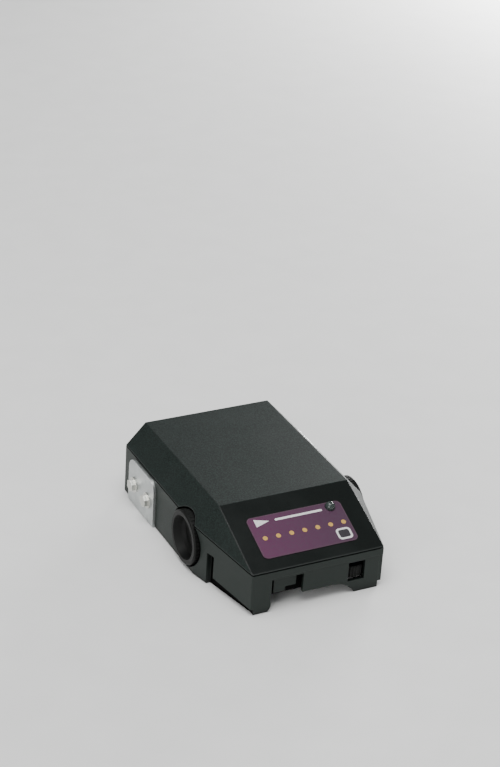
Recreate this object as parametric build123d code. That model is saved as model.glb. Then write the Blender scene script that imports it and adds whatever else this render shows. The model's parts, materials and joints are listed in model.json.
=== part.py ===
from build123d import *
from math import cos, pi, radians, sin
import os

# Brake controller unit, in millimetres. X runs across, Y from the nose to the rear, and Z up.
# The origin is the middle of the footprint, on the surface that the unit rests on.

# Case form
LENGTH = 125.0
SEAM_WIDTH = 89.0
TOP_WIDTH = 68.5
NOSE_WIDTH = 69.0
TOP_Z = 37.5
SEAM_Z = 26.5
NOSE_Z = 22.0
WIDE_SETBACK = 42.0  # from the nose to the widest station
FOLD_SETBACK = 38.5  # from the nose to the fold between nose panel and top
WALL = 2.4
EDGE_ROUND = 0.7
SEAM_GROOVE = (0.6, 0.8)  # height and depth of the shadow line under the cover

FRONT_Y = -LENGTH / 2
REAR_Y = LENGTH / 2
WIDE_Y = FRONT_Y + WIDE_SETBACK
FOLD_Y = FRONT_Y + FOLD_SETBACK
SEAM_HALF = SEAM_WIDTH / 2
TOP_HALF = TOP_WIDTH / 2
NOSE_HALF = NOSE_WIDTH / 2
NOSE_PLANE = Plane(
    origin=(0, FRONT_Y, NOSE_Z),
    x_dir=(1, 0, 0),
    z_dir=(0, NOSE_Z - TOP_Z, FOLD_SETBACK),
)

# Front: control bay, knob slot, wheel window and legs
BAY_X = (-24.2, 30.2)
BAY_DEPTH = 19.0
BAY_TOP = 16.8
BAY_WALL = 1.4
SLOT_RIGHT = -7.4
FASCIA_Z = 6.6
ARCH_START_X = 9.0
ARCH_FOOT_X = 20.5
ARCH_MIDDLE = (0.62, 0.66)  # the arch's mid point, as shares of its width and height
WINDOW_X = (16.4, 25.2)
WINDOW_Z = 6.6
LEG_ROUND = 3.5
BEAM_Z = 18.0
BEAM_STEP = 0.6
BAY_BACK = FRONT_Y + BAY_DEPTH
BAY_SHELL_X = (BAY_X[0] - BAY_WALL, BAY_X[1] + BAY_WALL)
BAY_SHELL_BACK = BAY_BACK + BAY_WALL
BAY_SHELL_TOP = BAY_TOP + BAY_WALL

# Side recess under and behind the front panel of each flank
SKIRT_DEPTH = 2.4
SKIRT_BACKING = 1.2
SKIRT_SLOT_Y = (-35.2, -30.2)
SKIRT_SLOT_Z = 17.2
SKIRT_STRIP_Z = (5.8, 3.2)  # height of the foot strip at the slot and at the nose
SKIRT_CORNER = 1.6

# Level dials, their pockets and the cradle between them
LEVEL_Y = -11.0
LEVEL_Z = 15.1
DIAL_RADIUS = 13.6
DIAL_FACE_X = 46.0
DIAL_BACK_X = 38.0
DISH_RADIUS = 10.6
DISH_DEPTH = 5.2
DIAL_FLUTES = 40
FLUTE_RADIUS = 0.55
FLUTE_CENTRE = DIAL_RADIUS + 0.25
FLUTE_STOP = 1.2  # the plain band between the flutes and the dial's face
RIM_CHAMFER = 0.6
RIM_LIP = 1.4
POCKET_RADIUS = 14.5
POCKET_FLOOR_X = 37.0
POCKET_WALL = 1.6
HUB_RADIUS = 4.0
HUB_END_X = 32.6
RUNNING_GAP = 0.06
SHAFT_RADIUS = 2.5
SHAFT_SET_BACK = 0.4
WASHER_SIZE = (7.0, 0.7)  # radius and thickness
CLIP_SIZE = (6.2, 0.8)
CLIP_GAP = 2.4  # half the width of a clip's open side
CRADLE_RADIUS = 8.4
CRADLE_HALF = 15.0
CRADLE_PLATE = 2.0
CRADLE_BAR = (0.8, 2.2)  # half its thickness and half its height
CRADLE_BAR_INSET = 1.3
PENDULUM_PIN_RISE = 5.6
PENDULUM_PIN_RADIUS = 1.0
PENDULUM_ARM = 9.6
BOB_RADIUS = 3.0
BOB_HALF = 9.0

# Manual slide
KNOB_X = (-21.9, -10.2)
KNOB_Z = (8.2, 16.3)
KNOB_STEP = (-15.8, 10.5)
KNOB_Y = (-59.9, -47.5)
KNOB_PAD = 2.0
SHUTTER_X = (-22.6, -4.0)
SHUTTER_Z = (6.4, 16.5)
SHUTTER_THICK = 1.0
CORE_Z = 10.8
SLIDE_TRAVEL = 12.0
LEVER_X = -15.8
LEVER_Z = 13.4
LEVER_SIZE = (3.0, 1.6)
POT_X = (-24.0, 10.0)
POT_DEPTH = 7.4
POT_Z = (9.6, 17.2)
POT_SHELL = 1.2
WIPER_WIDTH = 6.0
SPRING_RADIUS = 1.6
SPRING_WIRE = 0.4
SPRING_COILS = 8

# Gain thumbwheel
WHEEL_X = 20.8
WHEEL_Y = -53.0
WHEEL_RADIUS = 8.0
WHEEL_Z = (7.5, 13.5)
WHEEL_TEETH = 32
WHEEL_TOOTH_RADIUS = 0.5
WHEEL_TOOTH_CENTRE = WHEEL_RADIUS + 0.1
WHEEL_RIM = 2.2
WHEEL_HUB_RADIUS = 3.0
GAIN_SHAFT_RADIUS = 1.5
GAIN_SHAFT_RECESS = 0.6
GAIN_POT_SIZE = 10.0
GAIN_POT_Z = 13.8

# Nose panel: label and level lamp, measured up the slope from its lower edge
LABEL_SIZE = (49.8, 23.8)
LABEL_CENTRE = (-0.4, 19.1)
LABEL_CORNER = 2.6
LABEL_THICK = 0.3
LED_CENTRE = (18.4, 28.2)
LED_RADIUS = 2.5
LED_FLANGE = (2.95, 1.0)
LED_RISE = 1.9
LED_DOME_SHARE = 0.55  # the dome's root below the rise, in lamp radii
LEG_SPACING = 2.54
LEG_HALF = 0.25

# Circuit boards
BOARD_X = 32.0
BOARD_Y = (7.0, 59.0)
BOARD_Z = 11.5
BOARD_THICK = 1.6
BOARD_POSTS = [(28.0, 12.0), (28.0, 51.0)]
NOSE_BOARD_X = (-23.5, 25.5)
NOSE_BOARD_Y = (-57.0, -30.0)
NOSE_BOARD_Z = BAY_SHELL_TOP
NOSE_BOARD_THICK = 1.2
NOSE_BOARD_SCREWS = [(-20.0, -47.0), (5.0, -47.0)]
POST_RADIUS = 3.0

# Heat sink and power transistors
SINK_X = 31.0
SINK_Y = (57.6, REAR_Y - WALL)
SINK_Z = (14.0, 32.0)
SINK_FINS_X = (-10.5, -8.5, 8.5, 10.5)
TRANSISTOR_X = (-20.0, 0.0, 20.0)
TRANSISTOR_HALF = 5.1
TRANSISTOR_FOOT_Z = 17.0
TRANSISTOR_HOLE_Z = 28.5
TRANSISTOR_TOP_Z = 32.0
TAB_THICK = 1.3
PIN_PITCH = 2.54

# Mounting bracket
BRACKET_Y = (24.0, 54.0)
BRACKET_THICK = 1.5
EAR_Z = 25.0
EAR_CORNER = 6.0
EAR_HOLES_Y = (31.0, 47.0)
EAR_HOLE_Z = 12.0
EAR_HOLE_RADIUS = 2.1
EAR_SLOT_LENGTH = 8.4
WEB_HOLE_X = 22.0
WEB_HOLE_RADIUS = 2.5
SCREW_RELIEF = (6.0, 3.6)  # radius and depth over each web hole

# Screws: radius and length, or radius and height
HEX_HEAD = (3.2, 2.0)
HEX_WASHER = (4.0, 0.6)
HEX_SHANK = (1.5, 8.4)
COVER_SHANK_Z = 12.0
COVER_SHANK_LENGTH = 16.6
BOARD_SHANK = (1.1, 6.5)
NOSE_BOARD_SHANK = (0.8, 2.4)
TRANSISTOR_SHANK = (1.4, 3.4)
COVER_SCREWS = [(29.5, -33.0), (36.0, 55.0)]
COVER_BOSS_RADIUS = 3.4
COVER_SCREW_RADIUS = 1.45

# Flying leads
LEAD_DIAMETER = 3.0
LEAD_X = (25.4, 28.6)
LEAD_Z = (4.6, 7.8)
LEAD_MEET_Y = 57.8
GROMMET_SIZE = 11.0
GROMMET_NECK = 8.6
COIL_RADIUS = 15.0
COIL_BUNDLE = (9.4, 9.4)
COIL_CENTRE = (12.0, 85.6)
COIL_LIFT = 1.2
TIE_WIDTH = 2.5
TIE_THICK = 1.0
TIE_GAP = 0.12


# Directions, and how a round bar stands on its start plane
UP = (0, 0, 1)
DOWN = (0, 0, -1)
RIGHT = (1, 0, 0)
BACK = (0, 1, 0)
ON_BASE = (Align.CENTER, Align.CENTER, Align.MIN)
PAST = 1.0  # how far a cutting tool runs past the face that it opens


def box(x, y, z):
    """A box from its (low, high) pair along each axis."""
    size = [high - low for low, high in (x, y, z)]
    centre = [(high + low) / 2 for low, high in (x, y, z)]
    return Pos(*centre) * Box(*size)


def rod(start, direction, radius, length):
    """A round bar from start, along direction."""
    plane = Plane(origin=start, z_dir=direction)
    return plane * Cylinder(radius, length, align=ON_BASE)


def mirrored(part):
    """The part and its mirror image on the other side of the unit."""
    return [part, mirror(part, Plane.YZ)]


def yz_prism(points, x):
    """A prism along X, between x = (low, high), from an outline of (y, z) points."""
    outline = make_face(Polyline(*[(y, z) for y, z in points], close=True))
    return Plane(origin=(x[0], 0, 0), x_dir=(0, 1, 0), z_dir=(1, 0, 0)) * extrude(outline, x[1] - x[0])


def facet_planes():
    """The sloping planes of the cover, each with its normal outwards."""
    planes = [NOSE_PLANE]
    for side in (-1, 1):
        fold = Vector(side * TOP_HALF, FOLD_Y, TOP_Z)
        wide = Vector(side * SEAM_HALF, WIDE_Y, SEAM_Z)
        nose = Vector(side * NOSE_HALF, FRONT_Y, NOSE_Z)
        for other in (nose, fold + Vector(0, 1, 0)):
            run = other - wide if other is nose else Vector(0, 1, 0)
            normal = (fold - wide).cross(run)
            planes.append(Plane(origin=wide, z_dir=normal if normal.Z > 0 else -normal))
    return planes


def envelope(inset=0.0):
    """The faceted outer form with every wall moved in by inset."""
    outline = [(NOSE_HALF, FRONT_Y), (SEAM_HALF, WIDE_Y), (SEAM_HALF, REAR_Y)]
    outline += [(-x, y) for x, y in reversed(outline)]
    plan = make_face(Polyline(*outline, close=True))
    if inset:
        plan = offset(plan, -inset, kind=Kind.INTERSECTION)
    body = Pos(0, 0, inset) * extrude(plan, TOP_Z - 2 * inset)
    for plane in facet_planes():
        body = split(body, bisect_by=plane.offset(-inset), keep=Keep.BOTTOM)
    return body


def rounded_envelope():
    """The outer form with its edges rounded."""
    return offset(envelope(EDGE_ROUND), EDGE_ROUND, kind=Kind.ARC)


def above_seam():
    """All the space above the parting surface between cover and housing."""
    margin = 10.0
    points = [
        (FRONT_Y - margin, NOSE_Z),
        (FRONT_Y, NOSE_Z),
        (WIDE_Y, SEAM_Z),
        (REAR_Y + margin, SEAM_Z),
        (REAR_Y + margin, TOP_Z + margin),
        (FRONT_Y - margin, TOP_Z + margin),
    ]
    return yz_prism(points, (-SEAM_WIDTH, SEAM_WIDTH))


def dial_pocket(radius, inner_x):
    """A cylinder for each level dial's pocket, from inner_x outwards."""
    reach = SEAM_HALF + WALL
    return mirrored(rod((inner_x, LEVEL_Y, LEVEL_Z), RIGHT, radius, reach - inner_x))


def boss_columns():
    """The columns that the cover screws run up through."""
    return [rod((side * x, y, 0), UP, COVER_BOSS_RADIUS, TOP_Z) for x, y in COVER_SCREWS for side in (-1, 1)]


def case_shell():
    """Cover and housing as one closed shell with its inner walls and bosses."""
    outer = rounded_envelope()
    inner = envelope(WALL)
    bay_outer = box(BAY_SHELL_X, (FRONT_Y, BAY_SHELL_BACK), (0, BAY_SHELL_TOP))
    pads = [bay_outer, *boss_columns()]
    shell = outer - inner
    for pad in pads:
        shell += pad & outer
    shell += skirt_backing()
    shell -= dial_pocket(POCKET_RADIUS, POCKET_FLOOR_X)
    return shell


def make_dial_cups():
    """The cups behind the round side openings, each with a bore in its floor for a dial's hub."""
    inner = envelope(WALL)
    hub_bores = mirrored(rod((HUB_END_X, LEVEL_Y, LEVEL_Z), RIGHT, HUB_RADIUS + RUNNING_GAP, 10.0))
    cups = []
    walls = dial_pocket(POCKET_RADIUS + POCKET_WALL, POCKET_FLOOR_X - WALL)
    for wall, pocket, bore in zip(walls, dial_pocket(POCKET_RADIUS, POCKET_FLOOR_X), hub_bores):
        cups.append((wall & inner) - pocket - bore)
    return cups


def front_openings():
    """Everything cut through the front wall: knob slot, arch, rounded leg and wheel window."""
    leg_x = BAY_X[0] - LEG_ROUND
    with BuildSketch(Plane.XZ.offset(-FRONT_Y)) as face:
        with BuildLine():
            Polyline((ARCH_FOOT_X, 0), (ARCH_FOOT_X, -PAST), (leg_x, -PAST), (leg_x, 0))
            RadiusArc((leg_x, 0), (BAY_X[0], LEG_ROUND), -LEG_ROUND)
            Polyline(
                (BAY_X[0], LEG_ROUND),
                (BAY_X[0], BAY_TOP),
                (SLOT_RIGHT, BAY_TOP),
                (SLOT_RIGHT, FASCIA_Z),
                (ARCH_START_X, FASCIA_Z),
            )
            ThreePointArc(
                (ARCH_START_X, FASCIA_Z),
                (ARCH_START_X + ARCH_MIDDLE[0] * (ARCH_FOOT_X - ARCH_START_X), ARCH_MIDDLE[1] * FASCIA_Z),
                (ARCH_FOOT_X, 0),
            )
        make_face()
        with Locations((sum(WINDOW_X) / 2, (WINDOW_Z + BAY_TOP) / 2)):
            Rectangle(WINDOW_X[1] - WINDOW_X[0], BAY_TOP - WINDOW_Z)
    return extrude(face.sketch, -(WALL + 2.0), both=True)


def skirt_backing():
    """Extra wall thickness behind the recesses of the flanks."""
    span = box((-SEAM_HALF, SEAM_HALF), (FRONT_Y + WALL, SKIRT_SLOT_Y[1] + 2.0), (1.0, SKIRT_SLOT_Z + 1.5))
    liner = envelope(WALL / 2) - envelope(WALL + SKIRT_BACKING)
    return liner & span


def beam_step():
    """The front wall below the top beam stands back a little, from the knob slot to the right corner."""
    return box((BAY_X[0], SEAM_HALF), (FRONT_Y - 1, FRONT_Y + BEAM_STEP), (-1.0, BEAM_Z))


def skirt_recess():
    """The shallow recess along the foot of each flank, with the slot that rises from it."""
    points = [
        (SKIRT_SLOT_Y[1], -1.0),
        (SKIRT_SLOT_Y[1], SKIRT_SLOT_Z),
        (SKIRT_SLOT_Y[0], SKIRT_SLOT_Z),
        (SKIRT_SLOT_Y[0], SKIRT_STRIP_Z[0]),
        (FRONT_Y - 1.0, SKIRT_STRIP_Z[1]),
        (FRONT_Y - 1.0, -1.0),
    ]
    core = envelope(SKIRT_DEPTH)
    skin = envelope() - core - Pos(0, 0, -SKIRT_DEPTH) * core
    tool = yz_prism(points, (NOSE_HALF - SKIRT_CORNER, SEAM_WIDTH))
    return [part & skin for part in mirrored(tool)]


def floor_pads():
    """Raised floor over the bracket's web, and posts for the main board."""
    pads = [box((-SEAM_HALF + 1, SEAM_HALF - 1), (BRACKET_Y[0] - 2, BRACKET_Y[1] + 2), (1.0, 4.0))]
    for side in (-1, 1):
        x = side * WEB_HOLE_X
        top = BRACKET_THICK + SCREW_RELIEF[1] + 2.0
        pads.append(rod((x, sum(BRACKET_Y) / 2, 1.0), UP, SCREW_RELIEF[0] + 2.0, top - 1.0))
        pads += [rod((side * px, py, 1.0), UP, POST_RADIUS, BOARD_Z - 1.0) for px, py in BOARD_POSTS]
        for y in EAR_HOLES_Y:
            pads.append(rod((side * (SEAM_HALF - 1), y, EAR_HOLE_Z), (-side, 0, 0), 4.0, 9.0))
    return pads


def bracket_cuts():
    """The recess for the bracket's web, screw-head reliefs and the pilot holes for its screws."""
    cuts = [box((-50, 50), (BRACKET_Y[0] - 0.2, BRACKET_Y[1] + 0.2), (-1.0, BRACKET_THICK + 0.1))]
    for side in (-1, 1):
        start = (side * WEB_HOLE_X, sum(BRACKET_Y) / 2, 0)
        cuts.append(rod(start, UP, SCREW_RELIEF[0], BRACKET_THICK + SCREW_RELIEF[1]))
        for y in EAR_HOLES_Y:
            cuts.append(rod((side * SEAM_HALF, y, EAR_HOLE_Z), (-side, 0, 0), HEX_SHANK[0], 9.0))
        for px, py in BOARD_POSTS:
            cuts.append(rod((side * px, py, 4.5), UP, BOARD_SHANK[0], BOARD_Z))
    return cuts


def screw_holes():
    """Counterbores and clearance holes in the housing, and pilot holes in the cover."""
    cuts = []
    for x, y in COVER_SCREWS:
        for side in (-1, 1):
            cuts.append(rod((side * x, y, -1), UP, 2.8, 13.0))
            cuts.append(rod((side * x, y, 0), UP, COVER_SCREW_RADIUS, 29.0))
    for x, y in NOSE_BOARD_SCREWS:
        cuts.append(rod((x, y, BAY_TOP - PAST), UP, NOSE_BOARD_SHANK[0], 5.0))
    return cuts


def make_case():
    """The top cover, the lower housing and the control bay that fits into its front."""
    bay = box(BAY_X, (FRONT_Y + WALL, BAY_BACK), (-1.0, BAY_TOP))
    lever_slot = box(
        (LEVER_X - LEVER_SIZE[0], LEVER_X + SLIDE_TRAVEL + LEVER_SIZE[0]),
        (BAY_BACK - PAST, BAY_SHELL_BACK + 2 * PAST),
        (LEVER_Z - LEVER_SIZE[1], LEVER_Z + LEVER_SIZE[1]),
    )
    lead_x, lead_z = sum(LEAD_X) / 2, sum(LEAD_Z) / 2
    neck = Pos(lead_x, REAR_Y, lead_z) * Box(GROMMET_NECK, 4 * WALL, GROMMET_NECK)
    led_hole = NOSE_PLANE * Pos(*LED_CENTRE, 0) * Cylinder(LED_RADIUS + 0.1, 4 * WALL)

    shell = case_shell()
    for pad in floor_pads():
        shell += pad - dial_pocket(POCKET_RADIUS, POCKET_FLOOR_X)
    cuts = [bay, lever_slot, neck, led_hole, front_openings(), beam_step()]
    for cut in [*cuts, *skirt_recess(), *bracket_cuts(), *screw_holes()]:
        shell -= cut
    upper = above_seam()
    groove_height, groove_depth = SEAM_GROOVE
    groove = (rounded_envelope() - envelope(groove_depth)) & (Pos(0, 0, -groove_height) * upper)
    cover = shell & upper
    housing = shell - upper - groove
    bay_region = box(BAY_SHELL_X, (FRONT_Y + WALL, BAY_SHELL_BACK), (-PAST, BAY_SHELL_TOP))
    bay_region += box((BAY_X[0], NOSE_HALF - SKIRT_CORNER), (FRONT_Y - PAST, FRONT_Y + WALL), (-PAST, BEAM_Z))
    return cover, housing - bay_region, housing & bay_region


def make_label():
    """The thin overlay on the nose panel, with a hole for the lamp."""
    sheet = RectangleRounded(*LABEL_SIZE, LABEL_CORNER)
    hole = Pos(LED_CENTRE[0] - LABEL_CENTRE[0], LED_CENTRE[1] - LABEL_CENTRE[1]) * Circle(LED_RADIUS + 0.1)
    return NOSE_PLANE * Pos(*LABEL_CENTRE, 0) * extrude(sheet - hole, LABEL_THICK)


def make_level_lamp():
    """A 5 mm lamp under the nose panel, its dome standing out through the label."""
    flange_radius, flange_height = LED_FLANGE
    base_z = -WALL - flange_height
    dome_z = LED_RISE - LED_RADIUS * LED_DOME_SHARE
    flange = Pos(0, 0, base_z) * Cylinder(flange_radius, flange_height, align=ON_BASE)
    stem = Pos(0, 0, base_z) * Cylinder(LED_RADIUS, dome_z - base_z, align=ON_BASE)
    above = Pos(0, 0, LED_RADIUS) * Box(2.4 * LED_RADIUS, 2.4 * LED_RADIUS, 2 * LED_RADIUS)
    dome = Pos(0, 0, dome_z) * (Sphere(LED_RADIUS) & above)
    return NOSE_PLANE * Pos(*LED_CENTRE, 0) * (flange + stem + dome)


def make_lamp_leads():
    """The lamp's two legs, straight down into the nose board."""
    top = NOSE_PLANE.from_local_coords((*LED_CENTRE, -WALL - LED_FLANGE[1]))
    legs = []
    for x in (top.X - LEG_SPACING / 2, top.X + LEG_SPACING / 2):
        y = (top.Y - LEG_HALF, top.Y + LEG_HALF)
        leg = box((x - LEG_HALF, x + LEG_HALF), y, (NOSE_BOARD_Z, top.Z + 2))
        legs.append(leg - make_level_lamp())
    return legs


def make_level_dial():
    """The right dial: a dished cup with a fluted rim and a hub that turns in the housing."""
    x_plane = Plane(origin=(0, LEVEL_Y, LEVEL_Z), x_dir=(0, 1, 0), z_dir=(1, 0, 0))
    profile = [
        (SHAFT_RADIUS, HUB_END_X),
        (HUB_RADIUS, HUB_END_X),
        (HUB_RADIUS, DIAL_BACK_X),
        (DIAL_RADIUS, DIAL_BACK_X),
        (DIAL_RADIUS, DIAL_FACE_X - RIM_CHAMFER),
        (DIAL_RADIUS - RIM_CHAMFER, DIAL_FACE_X),
        (DISH_RADIUS + 0.4, DIAL_FACE_X),
        (DISH_RADIUS - RIM_LIP, DIAL_FACE_X - DISH_DEPTH + RIM_LIP),
        (DISH_RADIUS - 2 * RIM_LIP, DIAL_FACE_X - DISH_DEPTH),
        (SHAFT_RADIUS, DIAL_FACE_X - DISH_DEPTH),
    ]
    section = make_face(Polyline(*[(r, x) for r, x in profile], close=True))
    cup = x_plane * revolve(Plane.XZ * section, Axis.Z)
    flute_length = DIAL_FACE_X - DIAL_BACK_X - FLUTE_STOP + PAST
    for i in range(DIAL_FLUTES):
        angle = 2 * pi * i / DIAL_FLUTES
        y = LEVEL_Y + FLUTE_CENTRE * cos(angle)
        z = LEVEL_Z + FLUTE_CENTRE * sin(angle)
        cup -= rod((DIAL_BACK_X - PAST, y, z), RIGHT, FLUTE_RADIUS, flute_length)
    return cup


def make_dial_shafts():
    """Two steel half-shafts from the dials to the cradle."""
    inner = CRADLE_HALF - CRADLE_PLATE
    length = DIAL_FACE_X - DISH_DEPTH - inner - SHAFT_SET_BACK
    return mirrored(rod((inner, LEVEL_Y, LEVEL_Z), RIGHT, SHAFT_RADIUS, length))


def make_friction_rings():
    """Thin wave washers, drawn flat, between each dial and its pocket floor."""
    ring = rod((POCKET_FLOOR_X, LEVEL_Y, LEVEL_Z), RIGHT, *WASHER_SIZE)
    return mirrored(ring - rod((POCKET_FLOOR_X - PAST, LEVEL_Y, LEVEL_Z), RIGHT, HUB_RADIUS + 0.3, 3 * PAST))


def make_retaining_clips():
    """E-clips on the hubs, inside the housing, that hold the dials in."""
    inner = POCKET_FLOOR_X - WALL - 1.0
    clip = rod((inner, LEVEL_Y, LEVEL_Z), RIGHT, *CLIP_SIZE)
    clip -= rod((inner - PAST, LEVEL_Y, LEVEL_Z), RIGHT, HUB_RADIUS, 3 * PAST)
    x = (inner - PAST, inner + 2 * PAST)
    clip -= box(x, (LEVEL_Y - CLIP_GAP, LEVEL_Y + CLIP_GAP), (LEVEL_Z - 2 * HUB_RADIUS, LEVEL_Z))
    return mirrored(clip)


def make_cradle():
    """The level cradle: two discs joined by front and rear bars, open where the pendulum swings."""
    start = (CRADLE_HALF - CRADLE_PLATE, LEVEL_Y, LEVEL_Z)
    right, left = mirrored(rod(start, RIGHT, CRADLE_RADIUS, CRADLE_PLATE))
    cradle = right + left
    for side in (-1, 1):
        bar_y = LEVEL_Y + side * (CRADLE_RADIUS - CRADLE_BAR_INSET)
        y = (bar_y - CRADLE_BAR[0], bar_y + CRADLE_BAR[0])
        cradle += box((-CRADLE_HALF, CRADLE_HALF), y, (LEVEL_Z - CRADLE_BAR[1], LEVEL_Z + CRADLE_BAR[1]))
    end = CRADLE_HALF + 5 * PAST
    cradle -= rod((-end, LEVEL_Y, LEVEL_Z), RIGHT, SHAFT_RADIUS, 2 * end)
    cradle -= rod((-end, LEVEL_Y, LEVEL_Z + PENDULUM_PIN_RISE), RIGHT, PENDULUM_PIN_RADIUS, 2 * end)
    return cradle


def make_pendulum_pin():
    """The pin across the cradle that the pendulum hangs from."""
    start = (-CRADLE_HALF, LEVEL_Y, LEVEL_Z + PENDULUM_PIN_RISE)
    return rod(start, RIGHT, PENDULUM_PIN_RADIUS, 2 * CRADLE_HALF)


def make_pendulum_arm():
    """A sleeve on the pin with a flat arm down to the bob."""
    pin_z = LEVEL_Z + PENDULUM_PIN_RISE
    sleeve = rod((-6, LEVEL_Y, pin_z), RIGHT, 2.0, 12)
    blade = box((-3.0, 3.0), (LEVEL_Y - 0.6, LEVEL_Y + 0.6), (pin_z - PENDULUM_ARM + 1.0, pin_z - 1.2))
    bore = rod((-7, LEVEL_Y, pin_z), RIGHT, PENDULUM_PIN_RADIUS + RUNNING_GAP, 14)
    return sleeve + blade - bore


def make_pendulum_bob():
    """The brass weight at the foot of the arm."""
    z = LEVEL_Z + PENDULUM_PIN_RISE - PENDULUM_ARM
    bob = rod((-BOB_HALF, LEVEL_Y, z), RIGHT, BOB_RADIUS, 2 * BOB_HALF)
    return bob - make_pendulum_arm()


def make_motion_sensor():
    """The small board on the cradle's rear bar that reads the pendulum, with its chip."""
    y = LEVEL_Y + CRADLE_RADIUS - 0.5
    board = box((-7.0, 7.0), (y, y + 0.8), (LEVEL_Z - 2.0, LEVEL_Z + 2.0))
    chip = box((-2.2, 2.2), (y + 0.8, y + 1.6), (LEVEL_Z - 1.6, LEVEL_Z + 1.6))
    return board + chip


def make_knob():
    """The manual slide knob: a finger pad, stepped at its lower right, on a core that takes the lever."""
    pad = [
        (KNOB_X[0], KNOB_Z[0]),
        (KNOB_STEP[0], KNOB_Z[0]),
        (KNOB_STEP[0], KNOB_STEP[1]),
        (KNOB_X[1], KNOB_STEP[1]),
        (KNOB_X[1], KNOB_Z[1]),
        (KNOB_X[0], KNOB_Z[1]),
    ]
    outline = fillet(make_face(Polyline(*pad, close=True)).vertices(), 0.5)
    root_y = KNOB_Y[0] + KNOB_PAD
    face = Plane(origin=(0, root_y, 0), x_dir=(1, 0, 0), z_dir=(0, -1, 0))
    knob = face * extrude(outline, KNOB_PAD)
    knob += box((KNOB_X[0] + 1.5, KNOB_X[1] - 1.5), (root_y - 0.5, KNOB_Y[1]), (CORE_Z, KNOB_Z[1]))
    tang = box(
        (LEVER_X - LEVER_SIZE[0] / 2, LEVER_X + LEVER_SIZE[0] / 2),
        (KNOB_Y[1] - 5, KNOB_Y[1] + 1),
        (LEVER_Z - LEVER_SIZE[1] / 2, LEVER_Z + LEVER_SIZE[1] / 2),
    )
    return knob - tang


def make_shutter():
    """The dust shutter behind the knob's pad, which closes the slot and slides with the knob."""
    root_y = KNOB_Y[0] + KNOB_PAD
    return box(SHUTTER_X, (root_y, root_y + SHUTTER_THICK), SHUTTER_Z) - make_knob()


def make_slide_carriage():
    """The lever that carries the knob, with the wiper block that runs in the potentiometer."""
    wiper_y = BAY_SHELL_BACK + POT_SHELL + 0.3
    lever = box(
        (LEVER_X - LEVER_SIZE[0] / 2, LEVER_X + LEVER_SIZE[0] / 2),
        (KNOB_Y[1] - 5, wiper_y + 1),
        (LEVER_Z - LEVER_SIZE[1] / 2, LEVER_Z + LEVER_SIZE[1] / 2),
    )
    wiper = box(
        (LEVER_X - WIPER_WIDTH / 2, LEVER_X + WIPER_WIDTH / 2),
        (wiper_y, wiper_y + POT_DEPTH - 2 * POT_SHELL - 0.6),
        (POT_Z[0] + POT_SHELL + 0.3, POT_Z[1] - POT_SHELL - 0.3),
    )
    return lever + wiper


def make_slide_potentiometer():
    """The potentiometer's channel body, slotted for the lever."""
    y = (BAY_SHELL_BACK, BAY_SHELL_BACK + POT_DEPTH)
    body = box(POT_X, y, POT_Z)
    cavity = box(
        (POT_X[0] + POT_SHELL, POT_X[1] - POT_SHELL),
        (y[0] + POT_SHELL, y[1] - POT_SHELL),
        (POT_Z[0] + POT_SHELL, POT_Z[1] - POT_SHELL),
    )
    slot = box(
        (LEVER_X - LEVER_SIZE[0], LEVER_X + SLIDE_TRAVEL + LEVER_SIZE[0]),
        (y[0] - 1, y[0] + POT_SHELL + 0.5),
        (LEVER_Z - LEVER_SIZE[1], LEVER_Z + LEVER_SIZE[1]),
    )
    return body - cavity - slot


def make_return_spring():
    """The compression spring that pushes the carriage back to its left stop."""
    start = LEVER_X + WIPER_WIDTH / 2 + 0.1
    length = POT_X[1] - POT_SHELL - 0.1 - start
    y = BAY_SHELL_BACK + POT_DEPTH / 2
    height = length - SPRING_WIRE
    line = Helix(pitch=height / SPRING_COILS, height=height, radius=SPRING_RADIUS)
    section = Plane(origin=line @ 0, z_dir=line % 0) * Circle(SPRING_WIRE / 2)
    wire = sweep(section, path=line, is_frenet=True)
    return Plane(origin=(start + SPRING_WIRE / 2, y, LEVER_Z), z_dir=(1, 0, 0)) * wire


def make_thumbwheel():
    """The gain wheel: toothed rim, dished faces and a hub."""
    centre = (WHEEL_X, WHEEL_Y)
    z = WHEEL_Z
    wheel = rod((*centre, z[0]), UP, WHEEL_RADIUS, z[1] - z[0])
    wheel = chamfer(wheel.edges().filter_by(GeomType.CIRCLE), 0.5)
    below = (*centre, z[0] - PAST)
    dish = rod(below, UP, WHEEL_RADIUS - WHEEL_RIM, WHEEL_RIM) - rod(below, UP, WHEEL_HUB_RADIUS, 3 * PAST)
    wheel -= dish
    for i in range(WHEEL_TEETH):
        angle = 2 * pi * i / WHEEL_TEETH
        x = WHEEL_X + WHEEL_TOOTH_CENTRE * cos(angle)
        y = WHEEL_Y + WHEEL_TOOTH_CENTRE * sin(angle)
        wheel -= rod((x, y, z[0] - PAST), UP, WHEEL_TOOTH_RADIUS, z[1] - z[0] + 2 * PAST)
    return wheel - make_gain_shaft()


def make_gain_shaft():
    """The potentiometer's shaft, from its body down through the wheel's hub."""
    start_z = WHEEL_Z[0] + GAIN_SHAFT_RECESS
    return rod((WHEEL_X, WHEEL_Y, start_z), UP, GAIN_SHAFT_RADIUS, GAIN_POT_Z + 1.8 - start_z)


def make_gain_potentiometer():
    """The rotary potentiometer under the bay's ceiling, bored for its shaft."""
    half = GAIN_POT_SIZE / 2
    body = box((WHEEL_X - half, WHEEL_X + half), (WHEEL_Y - half, WHEEL_Y + half), (GAIN_POT_Z, BAY_TOP))
    return body - rod((WHEEL_X, WHEEL_Y, GAIN_POT_Z - 1), UP, GAIN_SHAFT_RADIUS + RUNNING_GAP, 3.2)


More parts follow.
